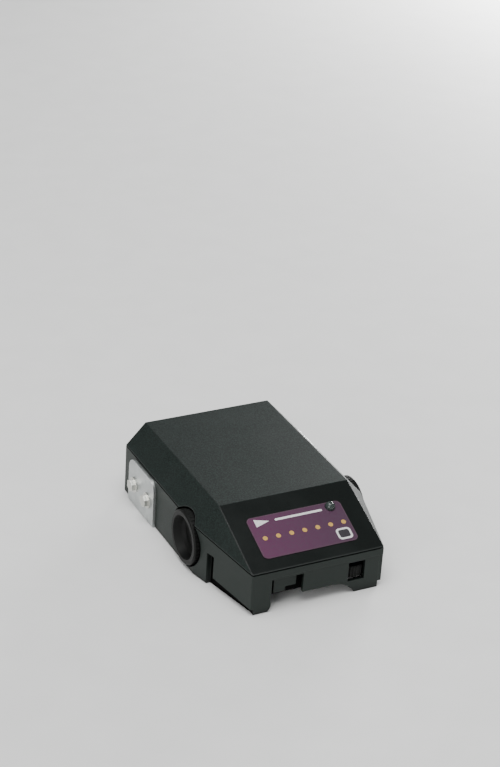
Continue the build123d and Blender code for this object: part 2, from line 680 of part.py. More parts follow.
def make_bracket():
    """The U-shaped sheet bracket: a web under the unit and an ear up each side."""
    outer = SEAM_HALF + BRACKET_THICK
    web = box((-outer, outer), BRACKET_Y, (0, BRACKET_THICK))
    bracket = web
    for side in (-1, 1):
        x = (side * SEAM_HALF, side * outer) if side > 0 else (side * outer, side * SEAM_HALF)
        ear = box(x, BRACKET_Y, (0, EAR_Z))
        top_edges = ear.edges().filter_by(Axis.X).group_by(Axis.Z)[-1]
        ear = fillet(top_edges, EAR_CORNER)
        bracket += ear
    bracket = fillet(bracket.edges().filter_by(Axis.Y).group_by(Axis.Z)[0], 1.2)
    for side in (-1, 1):
        start = (side * (SEAM_HALF - 1), EAR_HOLES_Y[0], EAR_HOLE_Z)
        bracket -= rod(start, (side, 0, 0), EAR_HOLE_RADIUS, 4)
        slot = SlotOverall(EAR_SLOT_LENGTH, 2 * EAR_HOLE_RADIUS)
        slot_start = (side * (SEAM_HALF - 1), EAR_HOLES_Y[1], EAR_HOLE_Z)
        slot_plane = Plane(origin=slot_start, x_dir=(0, 1, 0), z_dir=(side, 0, 0))
        bracket -= slot_plane * extrude(slot, 4)
        bracket -= rod((side * WEB_HOLE_X, sum(BRACKET_Y) / 2, -1), UP, WEB_HOLE_RADIUS, 4)
    return bracket


def hex_screw(start, direction):
    """A hex washer-head screw: start is under its head, and direction is the way that it points."""
    plane = Plane(origin=start, z_dir=direction)
    radius, height = HEX_HEAD
    washer_radius, washer_thick = HEX_WASHER
    head = Pos(0, 0, -washer_thick - height) * extrude(RegularPolygon(radius, 6), height)
    washer = Pos(0, 0, -washer_thick) * Cylinder(washer_radius, washer_thick, align=ON_BASE)
    shank = Cylinder(*HEX_SHANK, align=ON_BASE)
    return plane * (head + washer + shank)


def pan_screw(start, direction, radius, length, head=1.9):
    """A pan-head screw with a cross recess."""
    plane = Plane(origin=start, z_dir=direction)
    head_height = 0.8 * radius + 0.4
    top = Pos(0, 0, -head_height) * Cylinder(head * radius, head_height, align=ON_BASE)
    shank = Cylinder(radius, length, align=ON_BASE)
    wing = 0.45 * radius
    recess = Box(wing, 2 * radius, radius) + Box(2 * radius, wing, radius)
    return plane * (top + shank - Pos(0, 0, -head_height) * recess)


def make_bracket_screws():
    """Four screws through the bracket's ears into the housing."""
    screws = []
    for side in (-1, 1):
        for y in EAR_HOLES_Y:
            screws.append(hex_screw((side * (SEAM_HALF + BRACKET_THICK), y, EAR_HOLE_Z), (-side, 0, 0)))
    return screws


def make_cover_screws():
    """Four long screws up through the housing into the cover."""
    screws = []
    for x, y in COVER_SCREWS:
        for side in (-1, 1):
            screws.append(pan_screw((side * x, y, COVER_SHANK_Z), UP, COVER_SCREW_RADIUS, COVER_SHANK_LENGTH))
    return screws


def make_board_screws():
    """Screws down through both circuit boards."""
    top = BOARD_Z + BOARD_THICK
    screws = [pan_screw((side * x, y, top), DOWN, *BOARD_SHANK) for x, y in BOARD_POSTS for side in (-1, 1)]
    for x, y in NOSE_BOARD_SCREWS:
        screws.append(pan_screw((x, y, NOSE_BOARD_Z + NOSE_BOARD_THICK), DOWN, *NOSE_BOARD_SHANK))
    return screws


def make_main_board():
    """The main circuit board, with holes for its screws."""
    board = box((-BOARD_X, BOARD_X), BOARD_Y, (BOARD_Z, BOARD_Z + BOARD_THICK))
    board = fillet(board.edges().filter_by(Axis.Z), 1.5)
    for x, y in BOARD_POSTS:
        for side in (-1, 1):
            board -= rod((side * x, y, BOARD_Z - PAST), UP, BOARD_SHANK[0], 4 * PAST)
    return board


def make_nose_board():
    """The small board over the control bay, for the lamp and the controls."""
    board = box(NOSE_BOARD_X, NOSE_BOARD_Y, (NOSE_BOARD_Z, NOSE_BOARD_Z + NOSE_BOARD_THICK))
    for x, y in NOSE_BOARD_SCREWS:
        board -= rod((x, y, NOSE_BOARD_Z - PAST), UP, NOSE_BOARD_SHANK[0], 4 * PAST)
    return board - make_lamp_leads()


def make_heat_sink():
    """A flat aluminium spreader against the rear wall, with short fins between the transistors."""
    plate = box((-SINK_X, SINK_X), SINK_Y, SINK_Z)
    for x in SINK_FINS_X:
        plate += box((x - 0.5, x + 0.5), (SINK_Y[0] - 5.0, SINK_Y[0] + 0.5), SINK_Z)
    for x in TRANSISTOR_X:
        plate -= rod((x, SINK_Y[0] - PAST, TRANSISTOR_HOLE_Z), BACK, TRANSISTOR_SHANK[0], 3.6)
    return plate


def make_power_transistors():
    """Three tab-mounted power transistors standing on the board."""
    parts = []
    top = BOARD_Z + BOARD_THICK
    for x in TRANSISTOR_X:
        width = (x - TRANSISTOR_HALF, x + TRANSISTOR_HALF)
        tab = box(width, (SINK_Y[0] - TAB_THICK, SINK_Y[0]), (TRANSISTOR_FOOT_Z, TRANSISTOR_TOP_Z))
        tab -= rod((x, SINK_Y[0] - 2 * PAST, TRANSISTOR_HOLE_Z), BACK, 1.8, 4 * PAST)
        body = box(width, (SINK_Y[0] - 4.4, SINK_Y[0] - TAB_THICK), (TRANSISTOR_FOOT_Z, 25.4))
        part = tab + body
        for pin_x in (x - PIN_PITCH, x, x + PIN_PITCH):
            pin_z = (top, TRANSISTOR_FOOT_Z + 0.5)
            part += box((pin_x - 0.4, pin_x + 0.4), (SINK_Y[0] - 3.0, SINK_Y[0] - 2.5), pin_z)
        parts.append(part)
    return parts


def make_transistor_screws():
    """One screw through each transistor's tab into the heat sink."""
    start = (SINK_Y[0] - TAB_THICK, TRANSISTOR_HOLE_Z)
    return [pan_screw((x, *start), BACK, *TRANSISTOR_SHANK) for x in TRANSISTOR_X]


def upright(x, y, radius, height):
    """A capacitor can standing on the main board, with a rolled rim and a crimp."""
    top = BOARD_Z + BOARD_THICK
    can = rod((x, y, top), UP, radius, height)
    can = fillet(can.edges().filter_by(GeomType.CIRCLE), 0.6)
    crimp = Torus(radius + 0.35, 0.6)
    return can - Pos(x, y, top + 2.6) * crimp


def make_capacitors():
    """Two smoothing capacitors."""
    return [upright(-21.0, 24.0, 6.25, 19.0), upright(-21.0, 39.5, 5.0, 14.0)]


def make_control_chips():
    """Two dual in-line chips with their pins."""
    chips = []
    top = BOARD_Z + BOARD_THICK
    for x, y, count in ((2.0, 18.0, 7), (6.0, 33.0, 4)):
        length = PIN_PITCH * count
        chip = box((x - length / 2, x + length / 2), (y - 3.2, y + 3.2), (top + 0.6, top + 4.0))
        chip -= rod((x - length / 2, y, top + 3.4), UP, 0.8, 1.0)
        for i in range(count):
            pin_x = x + PIN_PITCH * (i - (count - 1) / 2)
            for side in (-1, 1):
                pin_y = sorted((y + side * 3.0, y + side * 3.9))
                chip += box((pin_x - 0.3, pin_x + 0.3), pin_y, (top, top + 2.2))
        chips.append(chip)
    return chips


def make_flyback_diode():
    """The axial diode across the brake output, with formed leads."""
    top = BOARD_Z + BOARD_THICK
    x, y, z = 25.0, 30.0, top + 3.2
    body = rod((x, y - 4.5, z), BACK, 2.6, 9.0)
    for side in (-1, 1):
        body += rod((x, y + side * 4.0, z), (0, side, 0), 0.5, 3.0)
        body += rod((x, y + side * 7.0, z + 0.5), DOWN, 0.5, z + 0.5 - top)
    return body


def make_current_shunt():
    """A wide flat link that the output current is measured across."""
    top = BOARD_Z + BOARD_THICK
    link = box((20.0, 30.0), (15.0, 18.0), (top + 4.0, top + 5.0))
    for x in (20.0, 29.0):
        link += box((x, x + 1.0), (15.0, 18.0), (top, top + 5.0))
    return link


def make_solder_terminals():
    """Four blades down from the board, one to each lead."""
    blades = []
    for x in LEAD_X:
        for z, y in zip(LEAD_Z, (LEAD_MEET_Y - 1.7, LEAD_MEET_Y - 0.8)):
            blades.append(box((x - 1.3, x + 1.3), (y, y + 0.8), (z - 1.3, BOARD_Z)))
    return blades


def lead_tubes():
    """The straight stretch of the leads, from terminals to coil, in the order blue, black, red, white."""
    tubes = []
    for x in LEAD_X:
        for z, y in zip(LEAD_Z, (LEAD_MEET_Y - 0.9, LEAD_MEET_Y)):
            tube = rod((x, y, z), BACK, LEAD_DIAMETER / 2, COIL_CENTRE[1] - y)
            cut = tube - make_lead_coil()
            tubes.append(cut.solids().sort_by(Axis.Y)[0])
    return tubes


def make_lead_coil():
    """The outer shape of the leads' coil, lying on the surface behind the unit."""
    width, height = COIL_BUNDLE
    section = RectangleRounded(width, height, 2.5)
    placed = Plane.XZ * Pos(COIL_RADIUS, COIL_LIFT + height / 2) * section
    return Pos(*COIL_CENTRE, 0) * revolve(placed, Axis.Z)


def make_grommet():
    """The rubber grommet in the rear wall, with a passage for each lead."""
    x, z = sum(LEAD_X) / 2, sum(LEAD_Z) / 2
    half = GROMMET_SIZE / 2
    neck = Pos(x, REAR_Y - WALL / 2, z) * Box(GROMMET_NECK, WALL, GROMMET_NECK)
    flange = box((x - half, x + half), (REAR_Y, REAR_Y + 1.8), (z - half, z + half))
    flange = fillet(flange.edges().filter_by(Axis.Y), 3.0)
    lip = box((x - half, x + half), (REAR_Y - WALL - 1.2, REAR_Y - WALL), (WALL, z + half - 0.6))
    grommet = neck + flange + lip
    for lead_x in LEAD_X:
        for lead_z in LEAD_Z:
            grommet -= rod((lead_x, REAR_Y - 10, lead_z), BACK, LEAD_DIAMETER / 2, 20)
    return grommet


def make_coil_tie():
    """The cable tie round the coil's bundle, at its far side, with its head."""
    width, height = COIL_BUNDLE
    y = COIL_CENTRE[1]
    x = COIL_CENTRE[0] - COIL_RADIUS
    inner_w, inner_h = width + 2 * TIE_GAP, height + 2 * TIE_GAP
    outer = RectangleRounded(inner_w + 2 * TIE_THICK, inner_h + 2 * TIE_THICK, 3.0)
    ring = Plane.XZ * Pos(x, COIL_LIFT + height / 2) * (outer - RectangleRounded(inner_w, inner_h, 2.4))
    band = Pos(0, y + TIE_WIDTH / 2, 0) * extrude(ring, TIE_WIDTH)
    head_x = x + width / 2 + 0.6
    head_z = COIL_LIFT + height
    return band + box((head_x, head_x + 4.0), (y - 2.2, y + 2.2), (head_z - 3.0, head_z + 1.0))


cover, housing, control_bay = make_case()
right_dial = make_level_dial()
blue_lead, black_lead, red_lead, white_lead = lead_tubes()

parts = {
    "top_cover": cover,
    "lower_housing": housing,
    "control_bay": control_bay,
    "dial_cups": make_dial_cups(),
    "face_label": make_label(),
    "level_lamp": make_level_lamp(),
    "lamp_leads": make_lamp_leads(),
    "level_dial_right": right_dial,
    "level_dial_left": mirror(right_dial, Plane.YZ),
    "dial_shafts": make_dial_shafts(),
    "dial_friction_rings": make_friction_rings(),
    "dial_retaining_clips": make_retaining_clips(),
    "level_cradle": make_cradle(),
    "pendulum_pin": make_pendulum_pin(),
    "pendulum_arm": make_pendulum_arm(),
    "pendulum_bob": make_pendulum_bob(),
    "motion_sensor": make_motion_sensor(),
    "manual_slide_knob": make_knob(),
    "slide_dust_shutter": make_shutter(),
    "slide_carriage": make_slide_carriage(),
    "slide_potentiometer": make_slide_potentiometer(),
    "slide_return_spring": make_return_spring(),
    "gain_thumbwheel": make_thumbwheel(),
    "gain_shaft": make_gain_shaft(),
    "gain_potentiometer": make_gain_potentiometer(),
    "mounting_bracket": make_bracket(),
    "bracket_screws": make_bracket_screws(),
    "cover_screws": make_cover_screws(),
    "board_screws": make_board_screws(),
    "main_circuit_board": make_main_board(),
    "nose_circuit_board": make_nose_board(),
    "heat_sink": make_heat_sink(),
    "power_transistors": make_power_transistors(),
    "transistor_screws": make_transistor_screws(),
    "smoothing_capacitors": make_capacitors(),
    "control_chips": make_control_chips(),
    "flyback_diode": make_flyback_diode(),
    "current_shunt": make_current_shunt(),
    "solder_terminals": make_solder_terminals(),
    "lead_grommet": make_grommet(),
    "blue_lead": blue_lead,
    "black_lead": black_lead,
    "red_lead": red_lead,
    "white_lead": white_lead,
    "lead_coil": make_lead_coil(),
    "coil_tie": make_coil_tie(),
}

os.makedirs("parts", exist_ok=True)
for name, part in parts.items():
    solids = part if isinstance(part, list) else [part]
    pieces = [solid for item in solids for solid in item.solids()]
    export_step(pieces[0] if len(pieces) == 1 else Compound(children=pieces), f"parts/{name}.step")
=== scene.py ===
import json
import math
import bmesh
import bpy
from mathutils import Matrix, Vector


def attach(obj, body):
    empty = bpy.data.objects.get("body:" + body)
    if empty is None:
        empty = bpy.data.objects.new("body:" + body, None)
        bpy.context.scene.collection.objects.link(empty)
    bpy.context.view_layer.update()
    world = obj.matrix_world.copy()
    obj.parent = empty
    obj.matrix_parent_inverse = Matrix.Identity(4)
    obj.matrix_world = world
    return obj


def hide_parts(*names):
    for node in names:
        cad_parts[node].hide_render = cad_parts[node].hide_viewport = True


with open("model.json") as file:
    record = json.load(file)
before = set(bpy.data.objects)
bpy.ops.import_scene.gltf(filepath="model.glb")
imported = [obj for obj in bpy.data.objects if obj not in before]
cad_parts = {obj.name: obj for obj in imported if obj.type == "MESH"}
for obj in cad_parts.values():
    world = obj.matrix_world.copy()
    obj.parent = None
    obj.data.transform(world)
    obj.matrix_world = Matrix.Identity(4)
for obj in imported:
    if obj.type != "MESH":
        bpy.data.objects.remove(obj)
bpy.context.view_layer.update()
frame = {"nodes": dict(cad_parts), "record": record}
nodes = frame["nodes"]
MM = 0.001

# ---------------------------------------------------------------- camera
AZIMUTH = math.radians(-27.91)
ELEVATION = math.radians(27.58)
ROLL = math.radians(3.75)
EYE = Vector((-393.83, -725.78, 514.81)) * MM
LENS = 92.4
SENSOR = 36.0


def add_camera():
    ca, sa = math.cos(AZIMUTH), math.sin(AZIMUTH)
    ce, se = math.cos(ELEVATION), math.sin(ELEVATION)
    back = Vector((sa * ce, -ca * ce, se))
    right = Vector((ca, sa, 0))
    up = back.cross(right)
    x = math.cos(ROLL) * right + math.sin(ROLL) * up
    y = -math.sin(ROLL) * right + math.cos(ROLL) * up
    data = bpy.data.cameras.new("camera")
    data.lens = LENS
    data.sensor_width = SENSOR
    data.sensor_fit = "AUTO"
    data.clip_start = 0.05
    data.clip_end = 20.0
    cam = bpy.data.objects.new("camera", data)
    bpy.context.scene.collection.objects.link(cam)
    turn = Matrix((x, y, back)).transposed().to_4x4()
    cam.matrix_world = Matrix.Translation(EYE) @ turn
    bpy.context.scene.camera = cam


add_camera()

# ---------------------------------------------------------------- flying leads
LEAD_DIAMETER = 3.0
LEAD_START_Y = 57.0
LEAD_EXIT_Y = 64.3
COIL_CENTRE = (12.0, 85.6)
COIL_RADIUS = 15.0
COIL_MID_Z = 5.9
COIL_PITCH = 3.05
COIL_TURNS = 2.2
POINTS_PER_TURN = 24
STEPS_TO_COIL = 8
LAYER_CHANGE = (0.7, 0.25)  # where in a turn a lead starts to change place, and for how long
BARE_DIAMETER = 1.7
BARE_STEPS = (-1.0, 1.5, 3.5, 5.5)  # along the bare end, from the end of the insulation
LEADS = {"blue": (25.4, 4.6), "black": (25.4, 7.8), "red": (28.6, 4.6), "white": (28.6, 7.8)}
FIRST_SLOT = {"blue": 0, "black": 2, "red": 3, "white": 1}


def coil_slot(index):
    """Offset (outwards, up) of one of the nine places in the coil's bundle."""
    column, row = divmod(index % 9, 3)
    if column % 2:
        row = 2 - row
    return (column - 1) * COIL_PITCH, (row - 1) * COIL_PITCH


def smooth(t):
    t = min(1.0, max(0.0, t))
    return t * t * (3 - 2 * t)


def lead_route(name):
    """The centreline of one lead in millimetres: straight out of the rear, then round the coil."""
    x0, z0 = LEADS[name]
    first = FIRST_SLOT[name]
    out, rise = coil_slot(first)
    straight = COIL_CENTRE[1] - LEAD_START_Y
    points = []
    for i in range(STEPS_TO_COIL):
        t = i / STEPS_TO_COIL
        y = LEAD_START_Y + straight * t
        s = smooth((y - LEAD_EXIT_Y) / (COIL_CENTRE[1] - LEAD_EXIT_Y))
        x = x0 + s * (COIL_CENTRE[0] + COIL_RADIUS + out - x0)
        points.append((x, y, z0 + s * (COIL_MID_Z + rise - z0)))
    for i in range(int(COIL_TURNS * POINTS_PER_TURN) + 1):
        turns = i / POINTS_PER_TURN
        angle = 2 * math.pi * turns
        number = int(turns)
        a = coil_slot(first + 4 * number)
        b = coil_slot(first + 4 * (number + 1))
        s = smooth((turns - number - LAYER_CHANGE[0]) / LAYER_CHANGE[1])
        out = a[0] + s * (b[0] - a[0])
        rise = a[1] + s * (b[1] - a[1])
        r = COIL_RADIUS + out
        x = COIL_CENTRE[0] + r * math.cos(angle)
        y = COIL_CENTRE[1] + r * math.sin(angle)
        points.append((x, y, COIL_MID_Z + rise))
    return points


def spline_object(name, points, diameter, resolution=6):
    """A round NURBS tube through millimetre points."""
    curve = bpy.data.curves.new(name, "CURVE")
    curve.dimensions = "3D"
    curve.bevel_depth = 1.0  # so that each point's radius is the tube's own
    curve.bevel_resolution = resolution
    curve.use_fill_caps = True
    spline = curve.splines.new("NURBS")
    spline.points.add(len(points) - 1)
    for point, co in zip(spline.points, points):
        point.co = (co[0] * MM, co[1] * MM, co[2] * MM, 1.0)
        point.radius = diameter / 2 * MM
    spline.order_u = 3
    spline.use_endpoint_u = True
    spline.resolution_u = 6
    obj = bpy.data.objects.new(name, curve)
    bpy.context.scene.collection.objects.link(obj)
    return obj


lead_objects = {}
tip_objects = {}
for colour in LEADS:
    route = lead_route(colour)
    lead = spline_object(f"{colour}_flying_lead", route, LEAD_DIAMETER)
    end, before = Vector(route[-1]), Vector(route[-2])
    ahead = (end - before).normalized()
    strands = [tuple(end + ahead * d) for d in BARE_STEPS]
    tip = spline_object(f"{colour}_lead_bare_end", strands, BARE_DIAMETER, 3)
    lead_objects[colour] = lead
    tip_objects[colour] = tip
    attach(lead, "casing")
    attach(tip, "casing")
    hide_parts(f"{colour}_lead")
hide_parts("lead_coil")

# ---------------------------------------------------------------- materials


# Where the recesses of the flanks lie, for the nearly black shadow painted into them
NOSE_HALF = 34.5
NOSE_Y = -62.5
FLANK_START = Vector((NOSE_HALF, NOSE_Y, 0)) * MM
FLANK_NORMAL = Vector((42.0, -10.0, 0)).normalized()  # each flank widens by 10 over its first 42
FLANK_SLOT_END = -30.3 * MM
RECESS_DEPTH = (1.4, 2.0)  # between these depths under the skin the recess begins
RECESS_OUTSIDE = (31.3, 31.6)
SHADOW_BLACK = (0.0005, 0.0005, 0.0005)


class Graph:
    """A short way to build one material's nodes."""

    def __init__(self, name):
        self.material = bpy.data.materials.new(name)
        self.material.use_nodes = True
        self.tree = self.material.node_tree
        self.tree.nodes.clear()
        self.output = self.node("ShaderNodeOutputMaterial")
        self.coords = self.node("ShaderNodeTexCoord").outputs["Object"]

    def node(self, kind, **settings):
        made = self.tree.nodes.new(kind)
        for key, value in settings.items():
            setattr(made, key, value)
        return made

    def join(self, source, target):
        self.tree.links.new(source, target)

    def noise(self, scale, detail=3.0, stretch=None):
        made = self.node("ShaderNodeTexNoise")
        made.inputs["Scale"].default_value = scale
        made.inputs["Detail"].default_value = detail
        if stretch:
            mapping = self.node("ShaderNodeMapping")
            mapping.inputs["Scale"].default_value = stretch
            self.join(self.coords, mapping.inputs["Vector"])
            self.join(mapping.outputs["Vector"], made.inputs["Vector"])
        else:
            self.join(self.coords, made.inputs["Vector"])
        return made.outputs["Fac"]

    def remap(self, source, low, high, out_low, out_high):
        made = self.node("ShaderNodeMapRange")
        made.inputs["From Min"].default_value = low
        made.inputs["From Max"].default_value = high
        made.inputs["To Min"].default_value = out_low
        made.inputs["To Max"].default_value = out_high
        self.join(source, made.inputs["Value"])
        return made.outputs["Result"]

    def mix(self, factor, first, second):
        made = self.node("ShaderNodeMix", data_type="RGBA")
        for socket, value in ((made.inputs[6], first), (made.inputs[7], second)):
            if hasattr(value, "is_linked"):
                self.join(value, socket)
            else:
                socket.default_value = (*value, 1.0)
        self.join(factor, made.inputs[0])
        return made.outputs[2]

    def add(self, first, second):
        made = self.node("ShaderNodeMath", operation="ADD")
        self.join(first, made.inputs[0])
        self.join(second, made.inputs[1])
        return made.outputs[0]

    def edges(self, radius):
        """1 along convex and concave edges, 0 on the flats."""
        bevel = self.node("ShaderNodeBevel", samples=4)
        bevel.inputs["Radius"].default_value = radius
        geometry = self.node("ShaderNodeNewGeometry")
        dot = self.node("ShaderNodeVectorMath", operation="DOT_PRODUCT")
        self.join(bevel.outputs["Normal"], dot.inputs[0])
        self.join(geometry.outputs["Normal"], dot.inputs[1])
        return self.remap(dot.outputs["Value"], 0.995, 0.86, 0.0, 1.0)

    def painted_crevice_shade(self, tone, depth=0.007, least=0.08):
        """tone, with painted shade darkening it towards black where a surface lies deep in a recess; least
        is the share of it that always stays.
        """
        occlusion = self.node("ShaderNodeAmbientOcclusion", samples=8)
        occlusion.inputs["Distance"].default_value = depth
        dark = self.remap(occlusion.outputs["AO"], 0.35, 0.8, 1.0 - least, 0.0)
        return self.mix(dark, tone, SHADOW_BLACK)

    def times(self, first, second):
        made = self.node("ShaderNodeMath", operation="MULTIPLY")
        self.join(first, made.inputs[0])
        self.join(second, made.inputs[1])
        return made.outputs[0]

    def painted_flank_shadow_mask(self):
        """1 on the sunken foot strip and slot of each slanting flank, where nearly black shadow is painted,
        0 elsewhere.
        """
        place = self.node("ShaderNodeSeparateXYZ")
        self.join(self.coords, place.inputs["Vector"])
        facing = self.node("ShaderNodeSeparateXYZ")
        self.join(self.node("ShaderNodeNewGeometry").outputs["Normal"], facing.inputs["Vector"])
        across = self.node("ShaderNodeMath", operation="ABSOLUTE")
        self.join(place.outputs["X"], across.inputs[0])
        sideways = self.node("ShaderNodeMath", operation="ABSOLUTE")
        self.join(facing.outputs["X"], sideways.inputs[0])
        mirrored = self.node("ShaderNodeCombineXYZ")
        self.join(across.outputs[0], mirrored.inputs["X"])
        self.join(place.outputs["Y"], mirrored.inputs["Y"])
        along = self.node("ShaderNodeVectorMath", operation="DOT_PRODUCT")
        self.join(mirrored.outputs["Vector"], along.inputs[0])
        along.inputs[1].default_value = FLANK_NORMAL
        skin = FLANK_NORMAL.dot(FLANK_START)
        shallow, full = (skin - depth * MM for depth in RECESS_DEPTH)
        deep = self.remap(along.outputs["Value"], shallow, full, 0.0, 1.0)
        ahead = self.remap(place.outputs["Y"], FLANK_SLOT_END, FLANK_SLOT_END - 0.2 * MM, 0.0, 1.0)
        outside = self.remap(across.outputs[0], RECESS_OUTSIDE[0] * MM, RECESS_OUTSIDE[1] * MM, 0.0, 1.0)
        sides = self.remap(sideways.outputs[0], 0.7, 0.85, 0.0, 1.0)
        return self.times(self.times(deep, ahead), self.times(outside, sides))

    def shade(
        self, colour, roughness, height=None, strength=0.1, distance=0.0002, metallic=0.0, bevel=0.0, **extra
    ):
        """The Principled shader; colour and roughness may be sockets or plain values."""
        shader = self.node("ShaderNodeBsdfPrincipled")
        for key, value in (("Base Color", colour), ("Roughness", roughness)):
            if hasattr(value, "is_linked"):
                self.join(value, shader.inputs[key])
            else:
                shader.inputs[key].default_value = (*value, 1.0) if key == "Base Color" else value
        shader.inputs["Metallic"].default_value = metallic
        for key, value in extra.items():
            socket = shader.inputs[key.replace("_", " ")]
            if hasattr(value, "is_linked"):
                self.join(value, socket)
            else:
                socket.default_value = value
        normal = None
        if bevel:
            rounded = self.node("ShaderNodeBevel", samples=4)
            rounded.inputs["Radius"].default_value = bevel
            normal = rounded.outputs["Normal"]
        if height is not None:
            bump = self.node("ShaderNodeBump")
            bump.inputs["Strength"].default_value = strength
            bump.inputs["Distance"].default_value = distance
            self.join(height, bump.inputs["Height"])
            if normal is not None:
                self.join(normal, bump.inputs["Normal"])
            normal = bump.outputs["Normal"]
        if normal is not None:
            self.join(normal, shader.inputs["Normal"])
        self.join(shader.outputs["BSDF"], self.output.inputs["Surface"])
        return self.material


def grained_plastic(
    name, base, worn, rough, grain_scale, grain_strength, mottle=0.35, gloss=0.35, paint_flank_shadow=False
):
    """Moulded plastic: fine grain, faint mottling, slightly polished edges and painted shade deep in its
    recesses.

    Its last argument paints nearly black shadow into the recesses of the flanks.
    """
    g = Graph(name)
    fine = g.noise(grain_scale, 2.0)
    broad = g.noise(60.0, 4.0)
    light = tuple(min(1.0, c * (1 + mottle)) for c in base)
    tone = g.mix(g.remap(fine, 0.42, 0.62, 0.0, 1.0), base, light)
    tone = g.mix(g.remap(broad, 0.4, 0.75, 0.0, 0.3), tone, worn)
    # painted shade: the tone darkens towards black where a surface lies deep in a recess
    tone = g.painted_crevice_shade(g.mix(g.edges(0.0006), tone, worn))
    roughness = g.remap(g.add(fine, broad), 0.7, 1.3, rough - 0.06, rough + 0.08)
    if paint_flank_shadow:
        # painted shadow: the flank recesses turn nearly black and lose their gloss
        shadow = g.painted_flank_shadow_mask()
        tone = g.mix(shadow, tone, SHADOW_BLACK)
        gloss = g.remap(shadow, 0.0, 1.0, gloss, 0.03)
    return g.shade(tone, roughness, fine, grain_strength, 0.00025, bevel=0.0004, Specular_IOR_Level=gloss)


def metal(name, base, dull, rough, stretch=(1, 1, 1), scale=300.0, strength=0.15, spangle=0.0):
    """Metal with a fine grain, which stretch can draw out one way, cloudy tarnish and brighter edges."""
    g = Graph(name)
    grain = g.noise(scale, 3.0, stretch)
    cloud = g.noise(70.0, 5.0)
    tone = g.mix(g.remap(cloud, 0.35, 0.7, 0.0, 1.0), base, dull)
    if spangle:
        cells = g.node("ShaderNodeTexVoronoi")
        cells.inputs["Scale"].default_value = 260.0
        g.join(g.coords, cells.inputs["Vector"])
        tone = g.mix(g.remap(cells.outputs["Color"], 0.0, 1.0, 0.0, spangle), tone, dull)
    tone = g.mix(g.edges(0.0005), tone, tuple(min(1.0, c * 1.25) for c in base))
    roughness = g.remap(g.add(grain, cloud), 0.6, 1.4, rough - 0.08, rough + 0.12)
    return g.shade(tone, roughness, grain, strength, 0.0001, metallic=1.0, bevel=0.0003)


def insulation(name, base):
    """Soft extruded wire insulation with a fine tooth and pale dust."""
    g = Graph(name)
    fine = g.noise(700.0, 3.0)
    dust = g.noise(90.0, 5.0)
    pale = tuple(0.75 * c + 0.12 for c in base)
    tone = g.mix(g.remap(dust, 0.5, 0.85, 0.0, 0.55), base, pale)
    return g.shade(tone, g.remap(fine, 0.3, 0.7, 0.36, 0.5), fine, 0.08, 0.0001)


def glossy(name, base, second, rough, scale=400.0):
    """Smooth lacquered or moulded surface with slight orange peel."""
    g = Graph(name)
    fine = g.noise(scale, 2.0)
    broad = g.noise(50.0, 4.0)
    tone = g.mix(g.remap(broad, 0.4, 0.7, 0.0, 1.0), base, second)
    return g.shade(tone, g.remap(fine, 0.3, 0.7, rough, rough + 0.1), fine, 0.05, 0.0001, bevel=0.0002)


def cover_material():
    """Black grained top with a smoother, darker nose panel."""
    g = Graph("cover_grain")
    fine = g.noise(2200.0, 2.0)
    broad = g.noise(45.0, 4.0)
    geometry = g.node("ShaderNodeNewGeometry")
    split = g.node("ShaderNodeSeparateXYZ")
    g.join(geometry.outputs["Normal"], split.inputs["Vector"])
    nose = g.remap(split.outputs["Y"], -0.25, -0.33, 0.0, 1.0)
    top = g.mix(g.remap(fine, 0.44, 0.6, 0.0, 1.0), (0.0028, 0.0055, 0.0045), (0.0125, 0.021, 0.018))
    panel = g.mix(g.remap(fine, 0.4, 0.65, 0.0, 1.0), (0.0004, 0.0016, 0.0012), (0.002, 0.0048, 0.0036))
    tone = g.mix(nose, top, panel)
    tone = g.mix(g.remap(broad, 0.45, 0.8, 0.0, 0.15), tone, (0.03, 0.034, 0.033))
    tone = g.mix(g.edges(0.0007), tone, (0.035, 0.04, 0.038))
    roughness = g.remap(nose, 0.0, 1.0, 0.55, 0.3)
    return g.shade(tone, roughness, fine, 0.2, 0.0002, bevel=0.0005, Specular_IOR_Level=0.22)


def label_material():
    """Purple printed film, warmer towards its left end."""
    g = Graph("label_print")
    place = g.node("ShaderNodeSeparateXYZ")
    g.join(g.coords, place.inputs["Vector"])
    across = g.remap(place.outputs["X"], -0.025, 0.024, 1.0, 0.0)
    fine = g.noise(900.0, 2.0)
    tone = g.mix(across, (0.055, 0.020, 0.046), (0.084, 0.016, 0.058))
    tone = g.mix(g.remap(fine, 0.4, 0.7, 0.0, 0.3), tone, (0.046, 0.024, 0.048))
    return g.shade(tone, g.remap(fine, 0.3, 0.7, 0.28, 0.38), fine, 0.06, 0.0001)


def flat_print(name, base):
    """Printed ink with a faint tooth."""
    g = Graph(name)
    fine = g.noise(1100.0, 2.0)
    dark = tuple(c * 0.8 for c in base)
    tone = g.mix(g.remap(fine, 0.4, 0.7, 0.0, 1.0), base, dark)
    return g.shade(tone, 0.4, fine, 0.08, 0.00005)


def lamp_material():
    """Smoked, slightly green lens."""
    g = Graph("lamp_lens")
    cloud = g.noise(400.0, 3.0)
    tone = g.mix(cloud, (0.03, 0.05, 0.045), (0.10, 0.13, 0.12))
    roughness = g.remap(cloud, 0.3, 0.7, 0.08, 0.16)
    return g.shade(tone, roughness, cloud, 0.03, 0.0001, Transmission_Weight=0.55, IOR=1.5)


def board_material():
    """Green solder mask with faint tracks under it."""
    g = Graph("board_mask")
    brick = g.node("ShaderNodeTexBrick")
    brick.inputs["Scale"].default_value = 160.0
    brick.inputs["Mortar Size"].default_value = 0.12
    g.join(g.coords, brick.inputs["Vector"])
    fine = g.noise(500.0, 3.0)
    tone = g.mix(brick.outputs["Fac"], (0.010, 0.075, 0.030), (0.022, 0.13, 0.055))
    return g.shade(tone, g.remap(fine, 0.3, 0.7, 0.22, 0.34), brick.outputs["Fac"], 0.1, 0.00003)


